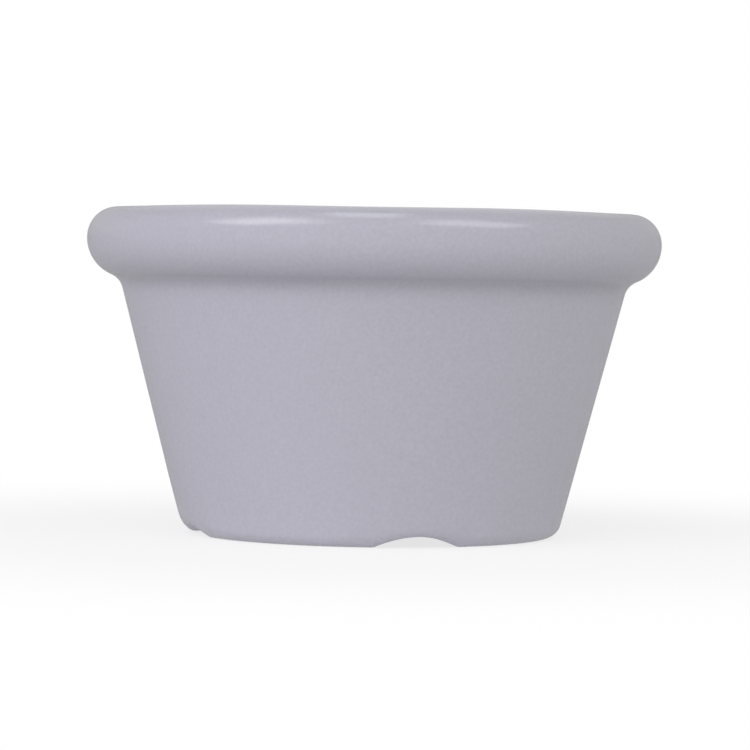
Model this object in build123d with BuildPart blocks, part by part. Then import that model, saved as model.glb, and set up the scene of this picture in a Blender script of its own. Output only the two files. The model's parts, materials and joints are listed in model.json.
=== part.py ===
from build123d import *
from math import acos, atan2, cos, degrees, pi, radians, sin, tan
import os

# A small sauce ramekin, moulded in one piece: a tapered bowl with a rolled rim, standing on a foot
# ring. Four shallow notches cut through the ring, so that water drains off it when the washed bowl
# stands upside down. Millimetres. The origin is the middle of the foot, on the table; +Z is up.

# Bowl
rim_diameter = 79.0
height = 44.5
base_diameter = 51.7  # where the outer wall's line would meet the table, if the foot had no rounding
wall_thickness = 3.6
floor_thickness = 3.2
floor_corner_radius = 7.0

# Rim, seen in section
rim_overhang = 2.05  # from the outer wall's line, carried up to the top, out to the widest point
rim_top_height = 4.2  # from the widest point up to the crest
underside_radius = 5.5  # from the widest point round to the hollow under the rim
crease_radius = 2.7  # the hollow where the rim meets the wall
lip_radius = 2.2  # from the inside up to the crest

# Foot ring, and the recess inside it
foot_width = 3.85  # from the wall's line to the recess, along the table, if neither edge had a rounding
foot_edge_radius = 2.3
recess_margin = 0.3  # how much deeper the recess is than the notches
recess_edge_radius = 0.8
recess_corner_radius = 0.8

# Drain notches, seen from the side: a flat V, upside down, with a well rounded top
notch_count = 4
notch_depth = 1.6
notch_top_radius = 9.5
notch_flank_angle = 22.0
notch_overrun = 1.0  # how far the cut runs on below the foot

# The wall leans outwards by the same angle inside and outside.
rim_radius = rim_diameter / 2
base_radius = base_diameter / 2
draft = atan2(rim_radius - rim_overhang - base_radius, height)


def outer_wall(level):
    """Radius of the outer wall's line at a height above the table."""
    return base_radius + level * tan(draft)


def inner_wall(level):
    """Radius of the inner wall's line at a height above the table."""
    return outer_wall(level) - wall_thickness / cos(draft)


# Rim: a lip on the inside, a quarter of an ellipse from the crest to the widest point, an arc
# underneath and a hollow against the wall. Each runs on into the next with no corner, which sets
# where the lip starts and how far the last two turn.
lip_start_level = height - lip_radius * (1 - sin(draft))
crest_radius = inner_wall(height) + lip_radius * tan((pi / 2 - draft) / 2)
widest_level = height - rim_top_height
underside_inset = (outer_wall(widest_level) - (rim_radius - underside_radius)) * cos(draft)
crease_turn = acos((underside_inset + crease_radius) / (underside_radius + crease_radius))
underside_turn = draft + crease_turn

# Foot and floor: the recess is what the foot ring leaves, and has the wall's draft too.
recess_radius = base_radius - foot_width
recess_depth = notch_depth + recess_margin
recess_ceiling_radius = recess_radius - recess_depth * tan(draft)
floor_level = recess_depth + floor_thickness

# Notches: their flanks, carried on, would meet in a point above the rounded top.
flank = radians(notch_flank_angle)
notch_point_level = notch_depth + notch_top_radius * (1 / cos(flank) - 1)
notch_half_width = (notch_point_level + notch_overrun) / tan(flank)
notch_planes = [Plane.YZ.rotated((0, 0, copy * 360 / notch_count)) for copy in range(notch_count)]

with BuildPart() as bowl:
    with BuildSketch(Plane.XZ):
        with BuildLine():
            crown = EllipticalCenterArc(
                (crest_radius, widest_level),
                rim_radius - crest_radius,
                rim_top_height,
                start_angle=90,
                arc_size=-90,
            )
            underside = JernArc(crown @ 1, crown % 1, underside_radius, -degrees(underside_turn))
            crease = JernArc(underside @ 1, underside % 1, crease_radius, degrees(crease_turn))
            foot = FilletPolyline(
                crease @ 1,
                (base_radius, 0),
                (recess_radius, 0),
                (recess_ceiling_radius, recess_depth),
                (0, recess_depth),
                radius=[foot_edge_radius, recess_edge_radius, recess_corner_radius],
            )
            axis = Line(foot @ 1, (0, floor_level))
            inside = FilletPolyline(
                axis @ 1,
                (inner_wall(floor_level), floor_level),
                (inner_wall(lip_start_level), lip_start_level),
                radius=[floor_corner_radius],
            )
            TangentArc(inside @ 1, crown @ 0, tangent=inside % 1)
        make_face()
    revolve(axis=Axis.Z)
    with BuildSketch(*notch_planes):
        with BuildLine():
            flanks = FilletPolyline(
                (-notch_half_width, -notch_overrun),
                (0, notch_point_level),
                (notch_half_width, -notch_overrun),
                radius=[notch_top_radius],
            )
            Line(flanks @ 1, flanks @ 0)
        make_face()
    extrude(amount=rim_radius, mode=Mode.SUBTRACT)
bowl.part.label = "bowl"

os.makedirs("parts", exist_ok=True)
export_step(bowl.part, "parts/bowl.step")
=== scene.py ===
"""A small melamine sauce ramekin on a pale table, seen from the side in soft studio light.

The bowl is one moulding. Its section is drawn from a few sizes, turned about the upright axis, and cut by
four drain notches in the foot ring. Everything is in metres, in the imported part's own frame: the origin is
the middle of the foot on the table, +Z is up, and +X and +Y each run through the middle of a notch.
"""

import json
import logging
from collections.abc import Mapping, Sequence
from dataclasses import dataclass, field
from enum import Enum
from math import acos, atan2, ceil, cos, hypot, pi, radians, sin, tan

import bpy
from mathutils import Matrix, Vector


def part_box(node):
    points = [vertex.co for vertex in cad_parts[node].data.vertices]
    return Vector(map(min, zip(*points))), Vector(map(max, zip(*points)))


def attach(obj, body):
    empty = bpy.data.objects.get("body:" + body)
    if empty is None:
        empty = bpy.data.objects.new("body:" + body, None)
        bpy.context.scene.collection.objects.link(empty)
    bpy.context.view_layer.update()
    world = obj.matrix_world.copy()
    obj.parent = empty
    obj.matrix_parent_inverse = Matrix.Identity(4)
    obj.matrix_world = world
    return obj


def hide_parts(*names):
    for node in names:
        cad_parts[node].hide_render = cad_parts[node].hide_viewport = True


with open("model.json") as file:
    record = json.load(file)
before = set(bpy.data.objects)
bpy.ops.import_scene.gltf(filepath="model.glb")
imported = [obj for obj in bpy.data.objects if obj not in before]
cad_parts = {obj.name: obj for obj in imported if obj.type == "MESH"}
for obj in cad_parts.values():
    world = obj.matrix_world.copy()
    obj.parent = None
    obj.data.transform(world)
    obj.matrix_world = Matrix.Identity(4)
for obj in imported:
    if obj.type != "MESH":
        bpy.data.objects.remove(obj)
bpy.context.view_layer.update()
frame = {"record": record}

MM = 0.001
NODE = "bowl"
BODY = "root"
SLOT = "melamine"

Point = tuple[float, float]
Colour = tuple[float, float, float]

log = logging.getLogger("ramekin")


class Number:
    """A number that changes over a surface or from point to point, held as one node socket.

    Python's operators on it add Math nodes to its board, with a plain number on either side.
    """

    def __init__(self, board: "Board", socket: bpy.types.NodeSocket) -> None:
        """Wraps a socket of a board's node."""
        self.board = board
        self.socket = socket

    def _maths(self, operation: str, *operands: "Number | float") -> "Number":
        """Adds one Math node of an operation, and returns what it gives for the operands."""
        node = self.board.node("ShaderNodeMath", {"operation": operation}, dict(enumerate(operands)))
        return Number(self.board, node.outputs[0])

    def __add__(self, other: "Number | float") -> "Number":
        """The sum."""
        return self._maths("ADD", self, other)

    def __sub__(self, other: "Number | float") -> "Number":
        """The difference."""
        return self._maths("SUBTRACT", self, other)

    def __rsub__(self, other: float) -> "Number":
        """The difference, from a plain number."""
        return self._maths("SUBTRACT", other, self)

    def __mul__(self, other: "Number | float") -> "Number":
        """The product."""
        return self._maths("MULTIPLY", self, other)

    def __truediv__(self, other: "Number | float") -> "Number":
        """The quotient."""
        return self._maths("DIVIDE", self, other)

    def __rtruediv__(self, other: float) -> "Number":
        """The quotient of a plain number."""
        return self._maths("DIVIDE", other, self)

    def __abs__(self) -> "Number":
        """The size, without its sign."""
        return self._maths("ABSOLUTE", self)

    __radd__ = __add__
    __rmul__ = __mul__

    def root(self) -> "Number":
        """The square root, and zero where there is none."""
        return self._maths("SQRT", self.at_least(0.0))

    def floor(self) -> "Number":
        """The whole number at or below it."""
        return self._maths("FLOOR", self)

    def cosine(self) -> "Number":
        """The cosine of an angle in radians."""
        return self._maths("COSINE", self)

    def sine(self) -> "Number":
        """The sine of an angle in radians."""
        return self._maths("SINE", self)

    def tangent(self) -> "Number":
        """The tangent of an angle in radians."""
        return self._maths("TANGENT", self)

    def at_least(self, other: "Number | float") -> "Number":
        """The larger of the two."""
        return self._maths("MAXIMUM", self, other)

    def below(self, other: "Number | float") -> "Number":
        """1 where it is less than the other, and 0 elsewhere."""
        return self._maths("LESS_THAN", self, other)

    def angle_to(self, across: "Number") -> "Number":
        """The direction of the point with this rise and that run, in radians."""
        return self._maths("ARCTAN2", self, across)

    def rise(self, low: "Number | float", high: "Number | float") -> "Number":
        """Climbs smoothly between two values.

        Args:
            low: the value up to which it is 0.
            high: the value from which it is 1.

        Returns:
            How far it has climbed, from 0 to 1.
        """
        node = self.board.node(
            "ShaderNodeMapRange",
            {"interpolation_type": "SMOOTHSTEP"},
            {"Value": self, "From Min": low, "From Max": high},
        )
        return Number(self.board, node.outputs["Result"])


class Board:
    """A node tree that is being wired. Every node in this file comes from its node method."""

    def __init__(self, tree: bpy.types.NodeTree) -> None:
        """Takes the tree to wire."""
        self.tree = tree

    def node(
        self,
        kind: str,
        settings: Mapping[str, object] | None = None,
        inputs: Mapping[str | int, object] | None = None,
    ) -> bpy.types.Node:
        """Makes a node, sets its properties and fills its sockets.

        Args:
            kind: the node's type.
            settings: its properties by name, set before its sockets.
            inputs: a value, a socket or a Number for each input socket, by name or by place.

        Returns:
            The node.
        """
        made = self.tree.nodes.new(kind)
        for name, value in (settings or {}).items():
            setattr(made, name, value)
        for key, value in (inputs or {}).items():
            named = [s for s in made.inputs if s.name == key and s.enabled]
            socket = made.inputs[key] if isinstance(key, int) else named[0]
            source = value.socket if isinstance(value, Number) else value
            if isinstance(source, bpy.types.NodeSocket):
                self.tree.links.new(source, socket)
            else:
                socket.default_value = source
        return made

    def number(
        self,
        kind: str,
        output: str,
        settings: Mapping[str, object] | None = None,
        inputs: Mapping[str | int, object] | None = None,
    ) -> Number:
        """Makes a node and takes one of its outputs.

        Args:
            kind: the node's type.
            output: the name of the output socket.
            settings: as for the node method.
            inputs: as for the node method.

        Returns:
            The output, ready for arithmetic.
        """
        return Number(self, self.node(kind, settings, inputs).outputs[output])

    def parts(self, vector: bpy.types.NodeSocket) -> tuple[Number, Number, Number]:
        """Splits a vector into its X, Y and Z."""
        node = self.node("ShaderNodeSeparateXYZ", None, {"Vector": vector})
        return tuple(Number(self, socket) for socket in node.outputs)

    def along(self, vector: bpy.types.NodeSocket, axis: Vector) -> Number:
        """How far a vector reaches along an axis."""
        settings = {"operation": "DOT_PRODUCT"}
        return self.number("ShaderNodeVectorMath", "Value", settings, {0: vector, 1: axis})

    def vector(self, *xyz: Number | float) -> bpy.types.NodeSocket:
        """Joins X, Y and Z into a vector."""
        return self.node("ShaderNodeCombineXYZ", None, dict(enumerate(xyz))).outputs[0]

    def mix(self, share: Number, under: object, over: object) -> bpy.types.NodeSocket:
        """Mixes two colours.

        Args:
            share: how much of the second colour, from 0 to 1.
            under: the first colour, or its socket.
            over: the second colour, or its socket.

        Returns:
            The mixed colour's socket.
        """
        inputs = {"Factor": share, "A": under, "B": over}
        node = self.node("ShaderNodeMix", {"data_type": "RGBA"}, inputs)
        return next(s for s in node.outputs if s.enabled)


class Outline:
    """A section drawn point by point: radius from the axis, then height above the table."""

    def __init__(self, start: Point) -> None:
        """Begins at a point."""
        self.points: list[Point] = [start]

    def line(self, end: Point, steps: int) -> None:
        """Runs straight to a point, in steps that are shortest at both ends of the run.

        Args:
            end: where the run ends.
            steps: how many steps it takes.
        """
        start = self.points[-1]
        for step in range(1, steps + 1):
            share = (1 - cos(pi * step / steps)) / 2
            self.points.append(tuple(a + (b - a) * share for a, b in zip(start, end)))

    def arc(self, centre: Point, radii: Point, start: float, end: float, spacing: float) -> None:
        """Follows an arc of a circle or of an upright ellipse.

        Args:
            centre: the arc's centre.
            radii: its half width and half height.
            start: the angle where it starts, from the outward direction.
            end: the angle where it ends.
            spacing: the longest step along it.
        """
        steps = ceil(max(radii) * abs(end - start) / spacing)
        first = 0 if hypot(*self._gap(centre, radii, start)) > spacing else 1
        for step in range(first, steps + 1):
            angle = start + (end - start) * step / steps
            self.points.append((centre[0] + radii[0] * cos(angle), centre[1] + radii[1] * sin(angle)))

    def _gap(self, centre: Point, radii: Point, angle: float) -> Point:
        """The way from the last point to a point of an arc."""
        radius, height = self.points[-1]
        return centre[0] + radii[0] * cos(angle) - radius, centre[1] + radii[1] * sin(angle) - height


@dataclass(frozen=True)
class Section:
    """The bowl's section: its sizes, and the path that they give from floor to rim to foot."""

    rim_diameter: float
    height: float
    base_diameter: float = 51.7 * MM
    wall: float = 3.6 * MM
    floor: float = 3.2 * MM
    floor_corner: float = 7.0 * MM
    rim_overhang: float = 2.05 * MM
    rim_top: float = 4.2 * MM
    rim_underside: float = 5.5 * MM
    crease: float = 2.7 * MM
    lip: float = 2.2 * MM
    foot_width: float = 3.85 * MM
    foot_edge: float = 2.3 * MM
    recess_depth: float = 1.9 * MM
    recess_edge: float = 0.8 * MM
    recess_corner: float = 0.8 * MM
    fine_step: float = 0.24 * MM
    finest_step: float = 0.19 * MM
    soft_zone: float = 4.2 * MM
    long_run_steps: int = 17
    short_run_steps: int = 10

    @property
    def draft(self) -> float:
        """The angle by which the wall leans outwards."""
        return atan2((self.rim_diameter - self.base_diameter) / 2 - self.rim_overhang, self.height)

    def outer(self, height: float, inset: float = 0.0) -> float:
        """Radius of the outer wall's line at a height, or of a line inset from it."""
        return self.base_diameter / 2 + height * tan(self.draft) - inset / cos(self.draft)

    def recess(self, height: float, inset: float = 0.0) -> float:
        """Radius of the recess's wall at a height, or of a line inset from it into the foot."""
        return self.base_diameter / 2 - self.foot_width - height * tan(self.draft) + inset / cos(self.draft)

    def path(self) -> list[Point]:
        """Follows the section.

        Returns:
            The points, from the middle of the floor out and up the inside, over the rim, down the wall,
            round the foot and back to the axis.
        """
        lean = self.draft
        top = self.rim_diameter / 2
        floor_level = self.recess_depth + self.floor
        outline = Outline((0.0, floor_level))
        self._inside(outline, lean, floor_level)
        self._rim(outline, lean, top)
        self._foot(outline, lean)
        outline.line((0.0, self.recess_depth), self.short_run_steps)
        return outline.points

    def _inside(self, outline: Outline, lean: float, floor_level: float) -> None:
        """Draws the floor, its rounded corner and the inner wall up to the crest.

        Args:
            outline: the path so far.
            lean: the wall's lean.
            floor_level: the floor's height above the table.
        """
        corner_level = floor_level + self.floor_corner
        corner = (self.outer(corner_level, self.wall + self.floor_corner), corner_level)
        outline.line((corner[0], floor_level), self.short_run_steps)
        outline.arc(corner, (self.floor_corner,) * 2, -pi / 2, -lean, 2 * self.fine_step)
        lip_level = self.height - self.lip * (1 - sin(lean))
        outline.line((self.outer(lip_level, self.wall), lip_level), self.long_run_steps)
        centre = (self.outer(lip_level, self.wall) + self.lip * cos(lean), self.height - self.lip)
        outline.arc(centre, (self.lip,) * 2, pi - lean, pi / 2, self.finest_step)

    def _rim(self, outline: Outline, lean: float, top: float) -> None:
        """Draws the rim from its crest round to the hollow against the wall.

        Args:
            outline: the path so far.
            lean: the wall's lean.
            top: the radius of the rim's widest point.
        """
        crest = outline.points[-1][0]
        widest = self.height - self.rim_top
        outline.arc((crest, widest), (top - crest, self.rim_top), pi / 2, 0.0, self.fine_step)
        under = self.rim_underside
        inset = (self.outer(widest) - (top - under)) * cos(lean)
        turn = lean + acos((inset + self.crease) / (under + self.crease))
        outline.arc((top - under, widest), (under,) * 2, 0.0, -turn, self.fine_step)
        reach = under + self.crease
        hollow = (top - under + reach * cos(turn), widest - reach * sin(turn))
        outline.arc(hollow, (self.crease,) * 2, pi - turn, pi - lean, self.finest_step)

    def _foot(self, outline: Outline, lean: float) -> None:
        """Draws the outer wall, the foot ring and the recess inside it.

        Args:
            outline: the path so far.
            lean: the wall's lean.
        """
        outline.line((self.outer(self.soft_zone), self.soft_zone), self.long_run_steps)
        edge = (self.outer(self.foot_edge, self.foot_edge), self.foot_edge)
        wall_end = edge[1] - self.foot_edge * sin(lean)
        outline.line((self.outer(wall_end), wall_end), self.short_run_steps)
        outline.arc(edge, (self.foot_edge,) * 2, -lean, -pi / 2, self.finest_step)
        inner = (self.recess(self.recess_edge, self.recess_edge), self.recess_edge)
        outline.line((inner[0], 0.0), ceil((edge[0] - inner[0]) / self.fine_step))
        outline.arc(inner, (self.recess_edge,) * 2, -pi / 2, lean - pi, self.finest_step)
        corner_level = self.recess_depth - self.recess_corner
        corner = (self.recess(corner_level, -self.recess_corner), corner_level)
        outline.arc(corner, (self.recess_corner,) * 2, lean, pi / 2, self.finest_step)


@dataclass(frozen=True)
class DrainNotches:
    """The notches through the foot ring: a flat V, upside down, with a well rounded top.

    Polishing has rounded their edges, but not the flat land that the foot stands on.
    """

    count: int = 4
    depth: float = 1.6 * MM
    top_radius: float = 9.5 * MM
    flank: float = radians(22.0)
    soft_reach: float = 1.8 * MM
    soft_passes: int = 70
    flat_share: float = 0.75


@dataclass(frozen=True)
class MouldFaults:
    """The small faults of a moulded and polished rim: slow waves that catch the light unevenly."""

    rim_wave: float = 0.1 * MM
    waves_around: int = 6
    wave_phase: float = radians(-106.0)
    hollows: float = 0.05 * MM
    hollow_size: float = 22.0 * MM
    hollow_detail: float = 1.0
    seed: float = 3.0


@dataclass
class MouldedBowl:
    """The whole ramekin, turned from its section and notched."""

    section: Section
    notches: DrainNotches = field(default_factory=DrainNotches)
    faults: MouldFaults = field(default_factory=MouldFaults)
    steps_around: int = 480
    weld: float = 0.001 * MM

    def build(self, material: bpy.types.Material) -> bpy.types.Object:
        """Makes the bowl as one closed mesh.

        Args:
            material: the finish that covers it.

        Returns:
            The bowl, in place.
        """
        mesh = bpy.data.meshes.new("bowl section")
        points = self.section.path()
        edges = [(i, i + 1) for i in range(len(points) - 1)]
        mesh.from_pydata([(radius, 0.0, height) for radius, height in points], edges, [])
        bowl = bpy.data.objects.new("moulded_bowl", mesh)
        bpy.context.scene.collection.objects.link(bowl)
        modifier = bowl.modifiers.new("Turn and notch", "NODES")
        modifier.node_group = self._tree()
        for item in modifier.node_group.interface.items_tree:
            if item.in_out == "INPUT" and item.name in self._sizes():
                modifier[item.identifier] = self._sizes()[item.name]
            if item.name == "Finish":
                modifier[item.identifier] = material
        depsgraph = bpy.context.evaluated_depsgraph_get()
        turned = bpy.data.meshes.new_from_object(bowl.evaluated_get(depsgraph), depsgraph=depsgraph)
        bowl.modifiers.clear()
        bowl.data = turned
        turned.name = "moulded bowl"
        bpy.data.meshes.remove(mesh)
        return bowl

    def _sizes(self) -> dict[str, float | int]:
        """The tree's inputs by name: every size that its rules read."""
        return {
            "Steps around": self.steps_around,
            "Weld distance": self.weld,
            "Notch count": self.notches.count,
            "Notch depth": self.notches.depth,
            "Notch top radius": self.notches.top_radius,
            "Notch flank angle": self.notches.flank,
            "Soft reach": self.notches.soft_reach,
            "Soft passes": self.notches.soft_passes,
            "Flat share": self.notches.flat_share,
            "Rim wave": self.faults.rim_wave,
            "Waves around": self.faults.waves_around,
            "Wave phase": self.faults.wave_phase,
            "Rim level": self.section.height,
            "Rim top": self.section.rim_top,
            "Hollows": self.faults.hollows,
            "Hollow size": self.faults.hollow_size,
            "Hollow detail": self.faults.hollow_detail,
            "Still below": self.section.soft_zone,
            "Floor level": self.section.recess_depth + self.section.floor,
            "Floor reach": self.section.outer(self.section.floor_corner, self.section.wall),
            "Recess reach": self.section.recess(self.section.recess_depth),
            "Seed": self.faults.seed,
        }

    def _tree(self) -> bpy.types.NodeTree:
        """Wires the rules that turn the section, cut the notches, soften their edges and wave the rim.

        Returns:
            The tree, with a named input for every size.
        """
        tree = bpy.data.node_groups.new("Turned and notched bowl", "GeometryNodeTree")
        tree.interface.new_socket("Section", in_out="INPUT", socket_type="NodeSocketGeometry")
        for name, value in self._sizes().items():
            kind = "NodeSocketInt" if isinstance(value, int) else "NodeSocketFloat"
            tree.interface.new_socket(name, in_out="INPUT", socket_type=kind)
        tree.interface.new_socket("Finish", in_out="INPUT", socket_type="NodeSocketMaterial")
        tree.interface.new_socket("Bowl", in_out="OUTPUT", socket_type="NodeSocketGeometry")
        board = Board(tree)
        given = board.node("NodeGroupInput").outputs
        sizes = {name: Number(board, given[name]) for name in self._sizes()}
        turned = self._turned(board, given["Section"], sizes)
        notched = self._notched(board, turned, sizes)
        softened = self._softened(board, notched, sizes)
        waved = self._waved(board, softened, sizes)
        smooth = board.node("GeometryNodeSetShadeSmooth", None, {"Geometry": waved})
        real = board.node("GeometryNodeRealizeInstances", None, {"Geometry": smooth.outputs[0]})
        finished = board.node(
            "GeometryNodeSetMaterial", None, {"Geometry": real.outputs[0], "Material": given["Finish"]}
        )
        board.node("NodeGroupOutput", None, {"Bowl": finished.outputs[0]})
        return tree

    def _turned(
        self, board: Board, section: bpy.types.NodeSocket, sizes: Mapping[str, Number]
    ) -> bpy.types.NodeSocket:
        """Turns the section about the upright axis, and welds its seam and its two poles.

        Args:
            board: where the nodes go.
            section: the section's geometry.
            sizes: the tree's inputs.

        Returns:
            The turned geometry's socket.
        """
        size = board.node("GeometryNodeAttributeDomainSize", None, {"Geometry": section})
        points = Number(board, size.outputs["Point Count"])
        steps = sizes["Steps around"]
        grid = board.node("GeometryNodeMeshGrid", None, {"Vertices X": steps + 1, "Vertices Y": points})
        index = board.number("GeometryNodeInputIndex", "Index")
        step = ((index + 0.5) / points).floor()
        sample = board.node(
            "GeometryNodeSampleIndex",
            {"data_type": "FLOAT_VECTOR"},
            {
                "Geometry": section,
                "Value": board.node("GeometryNodeInputPosition").outputs[0],
                "Index": index - step * points,
            },
        )
        radius, _, height = board.parts(sample.outputs[0])
        angle = step * (2 * pi) / steps
        place = board.vector(radius * angle.cosine(), radius * angle.sine(), height)
        moved = self._moved(board, grid.outputs["Mesh"], place)
        weld = {"Geometry": moved, "Distance": sizes["Weld distance"]}
        welded = board.node("GeometryNodeMergeByDistance", None, weld)
        return welded.outputs[0]

    def _moved(
        self, board: Board, geometry: bpy.types.NodeSocket, place: bpy.types.NodeSocket
    ) -> bpy.types.NodeSocket:
        """Puts each point of a geometry at a place, and returns the geometry's socket."""
        node = board.node("GeometryNodeSetPosition", None, {"Geometry": geometry, "Position": place})
        return node.outputs[0]

    def _across(self, board: Board, x: Number, y: Number, sizes: Mapping[str, Number]) -> Number:
        """How far a point lies to the side of the middle of the nearest notch.

        Args:
            board: not used; the nodes go to the board of x and y.
            x: the point's X.
            y: the point's Y.
            sizes: the tree's inputs.

        Returns:
            The distance, without its sign.
        """
        sector = 2 * pi / sizes["Notch count"]
        turn = y.angle_to(x) / sector
        aside = (turn - (turn + 0.5).floor()) * sector
        return abs((x * x + y * y).root() * aside.sine())

    def _notched(
        self, board: Board, geometry: bpy.types.NodeSocket, sizes: Mapping[str, Number]
    ) -> bpy.types.NodeSocket:
        """Lifts what is under a notch's ceiling up to it, which cuts the notch.

        Args:
            board: where the nodes go.
            geometry: the turned bowl.
            sizes: the tree's inputs.

        Returns:
            The notched geometry's socket.
        """
        x, y, z = board.parts(board.node("GeometryNodeInputPosition").outputs[0])
        across = self._across(board, x, y, sizes)
        depth, radius = sizes["Notch depth"], sizes["Notch top radius"]
        flank = sizes["Notch flank angle"]
        rounded = depth - radius + (radius * radius - across * across).root()
        straight = depth + radius / flank.cosine() - radius - across * flank.tangent()
        near = across.below(radius * flank.sine())
        ceiling = rounded * near + straight * (1 - near)
        return self._moved(board, geometry, board.vector(x, y, z.at_least(ceiling)))

    def _softened(
        self, board: Board, geometry: bpy.types.NodeSocket, sizes: Mapping[str, Number]
    ) -> bpy.types.NodeSocket:
        """Rounds the edges of the notches, as polishing does.

        Args:
            board: where the nodes go.
            geometry: the notched bowl.
            sizes: the tree's inputs.

        Returns:
            The softened geometry's socket.
        """
        position = board.node("GeometryNodeInputPosition").outputs[0]
        x, y, z = board.parts(position)
        across = self._across(board, x, y, sizes)
        depth, reach = sizes["Notch depth"], sizes["Soft reach"]
        half_width = depth / sizes["Notch flank angle"].tangent() + reach
        beside = 1 - across.rise(half_width + reach, half_width + reach * 2)
        above = 1 - z.rise(depth + reach, depth + reach * 3)
        off_land = z.rise(0.0, depth * sizes["Flat share"])
        radius = (x * x + y * y).root()
        ring = radius.rise(sizes["Recess reach"] - reach / 2, sizes["Recess reach"])
        floor = sizes["Floor level"]
        inside = 1 - radius.rise(sizes["Floor reach"], sizes["Floor reach"] + reach / 2)
        foot = ring * (1 - inside * z.rise(floor - reach, floor - reach / 2))
        weight = beside * above * off_land * foot
        blurred = board.node(
            "GeometryNodeBlurAttribute",
            {"data_type": "FLOAT_VECTOR"},
            {"Value": position, "Iterations": sizes["Soft passes"], "Weight": weight},
        )
        return self._moved(board, geometry, blurred.outputs[0])

    def _waved(
        self, board: Board, geometry: bpy.types.NodeSocket, sizes: Mapping[str, Number]
    ) -> bpy.types.NodeSocket:
        """Gives the rim its slow waves and the whole bowl its faint hollows, all of them inwards.

        Args:
            board: where the nodes go.
            geometry: the softened bowl.
            sizes: the tree's inputs.

        Returns:
            The waved geometry's socket.
        """
        position = board.node("GeometryNodeInputPosition").outputs[0]
        x, y, z = board.parts(position)
        turn = (y.angle_to(x) - sizes["Wave phase"]) * sizes["Waves around"]
        level = sizes["Rim level"]
        high = z.rise(level - sizes["Rim top"] * 2, level)
        drop = (turn.cosine() + 1) * high * sizes["Rim wave"] / 2
        noise = board.number(
            "ShaderNodeTexNoise",
            "Fac",
            {"noise_dimensions": "4D"},
            {
                "Vector": position,
                "W": sizes["Seed"],
                "Scale": 1 / sizes["Hollow size"],
                "Detail": sizes["Hollow detail"],
            },
        )
        still = sizes["Still below"]
        inwards = noise * z.rise(still, still * 3) * sizes["Hollows"]
        shrink = 1 - inwards / (x * x + y * y).root().at_least(still)
        return self._moved(board, geometry, board.vector(x * shrink, y * shrink, z - drop))


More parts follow.
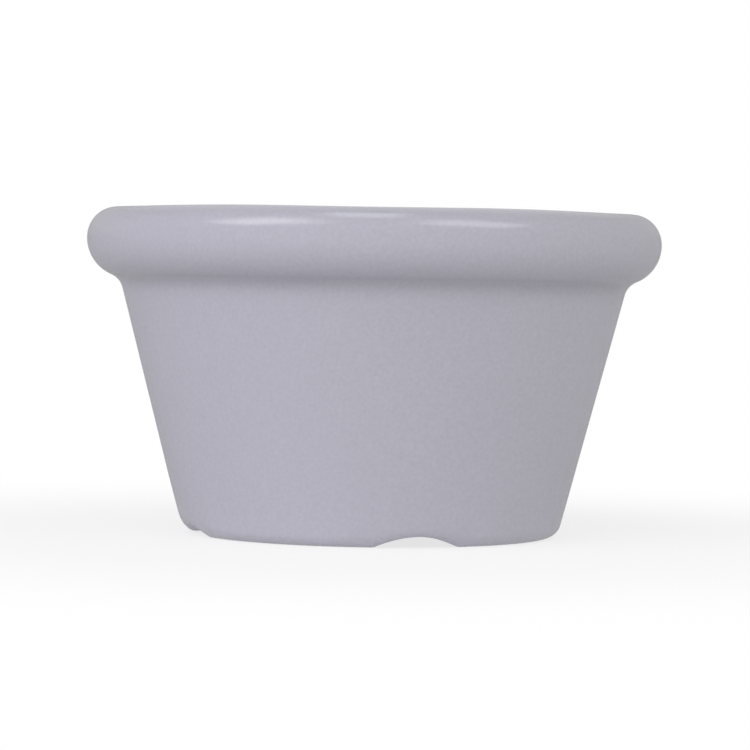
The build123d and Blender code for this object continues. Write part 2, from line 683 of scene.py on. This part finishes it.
@dataclass(frozen=True)
class GlossyMelamine:
    """Moulded melamine with a polished skin.

    It has faint flow clouds, a fine grain with the filler's flecks, a duller inside, a scuffed foot and a
    painted shade: its colour is darker in the hollow under the rim, where shade falls.
    """

    colour: Colour
    index: float = 1.6
    roughness: float = 0.15
    roughness_drift: float = 0.06
    cloud_size: float = 14.0 * MM
    cloud_detail: float = 3.0
    cloud_depth: float = 0.03
    grain_size: float = 0.5 * MM
    grain_detail: float = 4.0
    grain_depth: float = 0.2
    fleck_spacing: float = 2.2 * MM
    fleck_radius: float = 0.13 * MM
    fleck_depth: float = 0.10
    fleck_share: float = 0.55
    peel_size: float = 1.3 * MM
    peel_detail: float = 1.0
    peel_height: float = 0.003 * MM
    scuff_level: float = 0.25 * MM
    scuff_size: float = 0.6 * MM
    scuff_detail: float = 4.0
    scuff_range: tuple[float, float] = (0.4, 0.7)
    scuff_roughness: float = 0.35
    scuff_depth: float = 0.12
    # Painted shade: a band of darker base colour in the hollow under the rim, where the rim's shade falls.
    crease_level: float = 34.6 * MM
    crease_reach: float = 2.6 * MM
    painted_crease_depth: float = 0.09
    crease_radius: tuple[float, float] = (32.87 * MM, 33.91 * MM)
    inside_radius: float = 23.85 * MM
    inside_lean: float = 0.26
    inside_edge: float = 0.8 * MM
    inside_roughness: float = 0.2

    def material(self) -> bpy.types.Material:
        """Makes the material.

        Returns:
            The material, which reads Object coordinates alone.
        """
        material = bpy.data.materials.new("glossy melamine")
        material.use_nodes = True
        material.node_tree.nodes.clear()
        board = Board(material.node_tree)
        place = board.node("ShaderNodeTexCoord").outputs["Object"]
        x, y, height = board.parts(place)
        clouds = self._noise(board, place, self.cloud_size, self.cloud_detail) - 0.5
        grain = self._noise(board, place, self.grain_size, self.grain_detail) - 0.5
        flecks = self._flecks(board, place)
        scuffs = self._scuffs(board, place, height)
        radius = (x * x + y * y).root()
        # Painted shade: the base colour is darkened in the hollow under the rim.
        crease_shade = self._painted_crease_shade(radius, height) * (1 + clouds)
        worn = self._worn_inside(radius, height)
        shade = 1 + clouds * self.cloud_depth + grain * self.grain_depth - flecks * self.fleck_depth
        shade = shade - crease_shade * self.painted_crease_depth
        tint = board.vector(*(shade * part for part in self.colour))
        pale = tuple(part + (1 - part) * self.scuff_depth for part in self.colour) + (1.0,)
        skin = self._noise(board, place, self.peel_size, self.peel_detail)
        bump = {"Strength": 1.0, "Distance": self.peel_height, "Height": skin}
        peel = board.node("ShaderNodeBump", None, bump)
        shader = board.node(
            "ShaderNodeBsdfPrincipled",
            None,
            {
                "Base Color": board.mix(scuffs, tint, pale),
                "Roughness": self.roughness
                + clouds * self.roughness_drift
                + worn * self.inside_roughness
                + scuffs * self.scuff_roughness,
                "IOR": self.index,
                "Normal": peel.outputs[0],
            },
        )
        board.node("ShaderNodeOutputMaterial", None, {"Surface": shader.outputs[0]})
        return material

    def _noise(self, board: Board, place: bpy.types.NodeSocket, size: float, detail: float) -> Number:
        """Soft noise with features of a size, from 0 to 1."""
        inputs = {"Vector": place, "Scale": 1 / size, "Detail": detail}
        return board.number("ShaderNodeTexNoise", "Fac", None, inputs)

    def _flecks(self, board: Board, place: bpy.types.NodeSocket) -> Number:
        """Fine dark flecks, one in the middle of some of the cells of a loose lattice.

        Args:
            board: where the nodes go.
            place: the point's place.

        Returns:
            1 inside a fleck, and 0 between them.
        """
        inputs = {"Vector": place, "Scale": 1 / self.fleck_spacing}
        cells = board.node("ShaderNodeTexVoronoi", None, inputs)
        far = Number(board, cells.outputs["Distance"])
        chance, _, _ = board.parts(cells.outputs["Color"])
        radius = self.fleck_radius / self.fleck_spacing
        return (1 - far.rise(radius / 2, radius)) * chance.below(self.fleck_share)

    def _worn_inside(self, radius: Number, height: Number) -> Number:
        """1 on the inside, which spoons have dulled a little, and 0 on the outside."""
        line = height * self.inside_lean + self.inside_radius
        return 1 - radius.rise(line - self.inside_edge, line + self.inside_edge)

    def _painted_crease_shade(self, radius: Number, height: Number) -> Number:
        """Painted shade: how much the base colour is darkened in the hollow under the rim, where shade
        falls.

        Args:
            radius: the point's distance from the axis.
            height: its height above the table.

        Returns:
            How much of it lies at the point, from 0 to 1.
        """
        outside = radius.rise(*self.crease_radius)
        below = height.rise(self.crease_level - self.crease_reach, self.crease_level)
        above = height.rise(self.crease_level, self.crease_level + self.crease_reach / 3)
        return outside * below * (1 - above)

    def _scuffs(self, board: Board, place: bpy.types.NodeSocket, height: Number) -> Number:
        """Fine scuffs on the land that the bowl stands on.

        Args:
            board: where the nodes go.
            place: the point's place.
            height: its height above the table.

        Returns:
            How scuffed it is, from 0 to 1.
        """
        rubbed = self._noise(board, place, self.scuff_size, self.scuff_detail).rise(*self.scuff_range)
        return rubbed * (1 - height.rise(0.0, self.scuff_level))


class Tint(Enum):
    """The colours of light that the studio has."""

    NEUTRAL = (1.0, 1.0, 1.0)
    COOL = (0.98, 0.985, 1.015)
    COOLER = (0.93, 0.98, 1.06)
    WARM = (1.005, 1.0, 0.975)


@dataclass(frozen=True)
class Glow:
    """Soft light from one side of the room. Its direction is seen from the camera: right, away and up."""

    direction: tuple[float, float, float]
    level: float


@dataclass(frozen=True)
class Panel:
    """A bright panel overhead, which the gloss alone sees.

    Its edges are given as on a ceiling one metre up: how far right, and how far away, from above the bowl.
    """

    right: tuple[float, float]
    away: tuple[float, float]
    softness: float
    level: float
    tint: Tint = Tint.NEUTRAL


@dataclass(frozen=True)
class Viewpoint:
    """Where the camera stands and how it is turned."""

    azimuth: float = radians(-15.0)
    distance: float = 467.0 * MM
    height: float = 36.0 * MM
    yaw: float = radians(0.046)
    pitch: float = radians(1.73)
    roll: float = radians(0.92)
    lens_share: float = 3386.0 / 750.0

    def away(self) -> Vector:
        """The level direction from the camera to the bowl's axis."""
        return Vector((-sin(self.azimuth), cos(self.azimuth), 0.0))

    def right(self) -> Vector:
        """The level direction to the camera's right."""
        return Vector((cos(self.azimuth), sin(self.azimuth), 0.0))

    def world(self, direction: Sequence[float]) -> Vector:
        """Turns a direction given as right, away and up into one of the bowl's frame."""
        right, away, up = direction
        return self.right() * right + self.away() * away + Vector((0.0, 0.0, up))

    def camera(self) -> bpy.types.Object:
        """Makes the camera.

        Returns:
            The camera, in place.
        """
        level_right = self.right() * cos(self.yaw) - self.away() * sin(self.yaw)
        level_away = self.right() * sin(self.yaw) + self.away() * cos(self.yaw)
        upright = Vector((0.0, 0.0, 1.0))
        look = level_away * cos(self.pitch) - upright * sin(self.pitch)
        above = level_away * sin(self.pitch) + upright * cos(self.pitch)
        right = level_right * cos(self.roll) + above * sin(self.roll)
        above = above * cos(self.roll) - level_right * sin(self.roll)
        data = bpy.data.cameras.new("camera")
        data.lens = data.sensor_width * self.lens_share
        data.clip_start = self.distance / 20
        data.clip_end = self.distance * 100
        camera = bpy.data.objects.new("camera", data)
        bpy.context.scene.collection.objects.link(camera)
        turned = Matrix((right, above, -look)).transposed().to_4x4()
        place = Vector((0.0, 0.0, self.height)) - self.away() * self.distance
        camera.matrix_world = Matrix.Translation(place) @ turned
        return camera


def background_ray(board: Board) -> Number:
    """Tells the rays that see the background from those that carry light.

    Args:
        board: where the nodes go.

    Returns:
        1 for the rays of the camera, of gloss and of glass, and 0 for the others.
    """
    path = board.node("ShaderNodeLightPath").outputs
    kinds = ("Is Camera Ray", "Is Glossy Ray", "Is Transmission Ray")
    camera, glossy, glass = (Number(board, path[kind]) for kind in kinds)
    return camera.at_least(glossy).at_least(glass)


@dataclass(frozen=True)
class ReflectionTent:
    """Grey cards all round the bowl, which its gloss alone sees: a sheet on the table, a dome and panels.

    White all round would light up the bowl's outlines. The cards keep them even, as flags do in a studio.
    """

    view: Viewpoint
    radius: float = 1.4
    gap: float = 1.0 * MM
    lift: float = 0.05 * MM
    steps_around: int = 64
    steps_up: int = 16
    wall_level: float = 0.3
    rise_to_right: float = -0.025
    rise_to_back: float = 0.2
    rise_overhead: float = 0.12
    sheet_levels: tuple[float, float] = (0.42, 0.4)
    sheet_rise: tuple[float, float] = (22.0 * MM, 70.0 * MM)
    panels: tuple[Panel, ...] = (
        Panel((-1.15, -0.36), (-0.7, -0.18), 0.2, 2.9),
        Panel((-0.15, 0.09), (-0.16, 0.22), 0.03, 1.7, Tint.COOLER),
        Panel((0.27, 1.0), (-0.66, -0.2), 0.12, 2.0),
        Panel((-0.5, 0.5), (0.5, 3.0), 0.3, 0.3),
    )

    def build(self) -> None:
        """Makes the cards as one mesh round the bowl, and hides them from all rays but those of gloss."""
        rings = [(length, self.lift) for length in (self.gap, *self.sheet_rise, self.radius)]
        for step in range(1, self.steps_up + 1):
            angle = pi / 2 * step / self.steps_up
            rings.append((self.radius * cos(angle), self.lift + self.radius * sin(angle)))
        turns = [2 * pi * step / self.steps_around for step in range(self.steps_around)]
        verts = [(radius * cos(a), radius * sin(a), z) for radius, z in rings for a in turns]
        count = self.steps_around
        faces = []
        for start in range(0, count * (len(rings) - 1), count):
            for k in range(count):
                here, beside = start + k, start + (k + 1) % count
                faces.append((here, beside, beside + count, here + count))
        mesh = bpy.data.meshes.new("reflection tent")
        mesh.from_pydata(verts, [], faces)
        mesh.materials.append(self._material())
        tent = bpy.data.objects.new("reflection_tent", mesh)
        bpy.context.scene.collection.objects.link(tent)
        tent.visible_camera = tent.visible_diffuse = False
        tent.visible_transmission = tent.visible_shadow = False

    def _material(self) -> bpy.types.Material:
        """Makes the cards' own even glow, and the panels'.

        Returns:
            The material, which reads Object coordinates alone.
        """
        material = bpy.data.materials.new("grey cards")
        material.use_nodes = True
        material.node_tree.nodes.clear()
        board = Board(material.node_tree)
        place = board.node("ShaderNodeTexCoord").outputs["Object"]
        x, y, z = board.parts(place)
        right = board.along(place, self.view.right()) / self.radius
        away = board.along(place, self.view.away()) / self.radius
        up = z / self.radius
        dome = self.wall_level + right * self.rise_to_right + away * self.rise_to_back
        dome = dome + up * self.rise_overhead
        reach = (x * x + y * y).root()
        near, far = self.sheet_levels
        sheet = near + (far - near) * reach.rise(*self.sheet_rise)
        grey = sheet + (dome - sheet) * z.rise(self.lift, self.radius / 4)
        overhead = up.at_least(self.lift)
        right, away = right / overhead, away / overhead
        shares = [self._share(panel, right, away) * panel.level for panel in self.panels]
        channels = []
        for channel in range(3):
            level = grey
            for panel, share in zip(self.panels, shares):
                level = level + share * panel.tint.value[channel]
            channels.append(level)
        glow = board.node("ShaderNodeEmission", None, {"Color": board.vector(*channels), "Strength": 1.0})
        board.node("ShaderNodeOutputMaterial", None, {"Surface": glow.outputs[0]})
        return material

    def _share(self, panel: Panel, right: Number, away: Number) -> Number:
        """How much of a panel's light comes from a point of the ceiling.

        Args:
            panel: the panel.
            right: how far right the point lies.
            away: how far away from the camera it lies.

        Returns:
            1 inside the panel and 0 outside it, with its softness between.
        """
        soft = panel.softness
        along = right.rise(panel.right[0] - soft, panel.right[0] + soft)
        along = along * (1 - right.rise(panel.right[1] - soft, panel.right[1] + soft))
        across = away.rise(panel.away[0] - soft, panel.away[0] + soft)
        return along * across * (1 - away.rise(panel.away[1] - soft, panel.away[1] + soft))


@dataclass
class Studio:
    """A pale table, a white backdrop, the room's soft light, the reflection tent and the camera."""

    view: Viewpoint = field(default_factory=Viewpoint)
    table_size: float = 6.0
    table_drop: float = 0.02 * MM
    table_colour: Colour = (0.8, 0.8, 0.8)
    seen_white: Colour = (1.0, 1.0, 1.0)
    table_glow: float = 0.7
    fade: tuple[float, float] = (0.03, 0.13)
    underglow: float = 0.4
    underglow_reach: tuple[float, float] = (24.5 * MM, 32.0 * MM)
    glows: tuple[Glow, ...] = (
        Glow((-0.696, -0.696, 0.174), 2.72),
        Glow((0.696, -0.696, 0.174), 1.2),
        Glow((0.985, 0.0, 0.174), 0.75),
        Glow((-0.985, 0.0, 0.174), 0.1),
        Glow((0.0, -0.707, 0.707), 0.52),
        Glow((-0.696, 0.696, 0.174), 0.7),
        Glow((0.0, 0.985, 0.174), 0.7),
        Glow((0.696, 0.696, 0.174), 0.7),
    )
    left_tint: Tint = Tint.COOL
    right_tint: Tint = Tint.WARM

    def build(self) -> None:
        """Makes the table, the room, the tent and the camera, and sets the plain view transform."""
        self._table()
        self._room()
        ReflectionTent(self.view).build()
        scene = bpy.context.scene
        scene.camera = self.view.camera()
        scene.view_settings.view_transform = "Standard"

    def _table(self) -> None:
        """Makes the table, which keeps the bowl's shadow and fades to white away from it.

        Under the foot it glows a little, for diffuse light alone, as a light table does.
        """
        half = self.table_size / 2
        mesh = bpy.data.meshes.new("table")
        corners = ((-half, -half), (half, -half), (half, half), (-half, half))
        mesh.from_pydata([(*corner, -self.table_drop) for corner in corners], [], [(0, 1, 2, 3)])
        material = bpy.data.materials.new("white paper")
        material.use_nodes = True
        material.node_tree.nodes.clear()
        board = Board(material.node_tree)
        seen = background_ray(board)
        x, y, _ = board.parts(board.node("ShaderNodeTexCoord").outputs["Object"])
        reach = (x * x + y * y).root()
        far = reach.rise(*self.fade)
        seen_share = self.table_glow + (1 - self.table_glow) * far
        under_share = (1 - reach.rise(*self.underglow_reach)) * self.underglow
        share = under_share + (seen_share - under_share) * seen
        colour = board.mix(seen, self.table_colour + (1.0,), self.seen_white + (1.0,))
        paper = board.node("ShaderNodeBsdfDiffuse", None, {"Color": colour})
        white = board.node("ShaderNodeEmission", None, {"Strength": 1.0})
        layers = {0: share, 1: paper.outputs[0], 2: white.outputs[0]}
        mixed = board.node("ShaderNodeMixShader", None, layers)
        board.node("ShaderNodeOutputMaterial", None, {"Surface": mixed.outputs[0]})
        mesh.materials.append(material)
        table = bpy.data.objects.new("table", mesh)
        bpy.context.scene.collection.objects.link(table)

    def _room(self) -> None:
        """Makes the backdrop white, and the light that reaches the bowl soft, from all its sides."""
        world = bpy.data.worlds.new("room")
        world.use_nodes = True
        world.node_tree.nodes.clear()
        board = Board(world.node_tree)
        direction = board.node("ShaderNodeTexCoord").outputs["Generated"]
        total = 0.0
        for glow in self.glows:
            facing = board.along(direction, self.view.world(glow.direction).normalized()).at_least(0.0)
            squared = facing * facing
            total = squared * squared * glow.level + total
        side = board.along(direction, self.view.right()).rise(-1.0, 1.0)
        tint = board.mix(side, self.left_tint.value + (1.0,), self.right_tint.value + (1.0,))
        backdrop = self.seen_white + (1.0,)
        light = board.node("ShaderNodeBackground", None, {"Color": tint, "Strength": total})
        white = board.node("ShaderNodeBackground", None, {"Color": backdrop, "Strength": 1.0})
        layers = {0: background_ray(board), 1: light.outputs[0], 2: white.outputs[0]}
        mixed = board.node("ShaderNodeMixShader", None, layers)
        board.node("ShaderNodeOutputWorld", None, {"Surface": mixed.outputs[0]})
        bpy.context.scene.world = world


def main() -> None:
    """Builds the bowl and its studio, and reports each piece."""
    logging.basicConfig(level=logging.INFO, format="%(name)s: %(message)s")
    low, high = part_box(NODE)
    finish = next(m for m in frame["record"]["materials"] if m["slot"] == SLOT)
    melamine = GlossyMelamine(colour=tuple(finish["base_color"])).material()
    section = Section(rim_diameter=high.x - low.x, height=high.z)
    bowl = MouldedBowl(section).build(melamine)
    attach(bowl, BODY)
    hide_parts(NODE)
    log.info("%s: %d faces", bowl.name, len(bowl.data.polygons))
    Studio().build()
    log.info("studio ready")


if __name__ == "__main__":
    main()
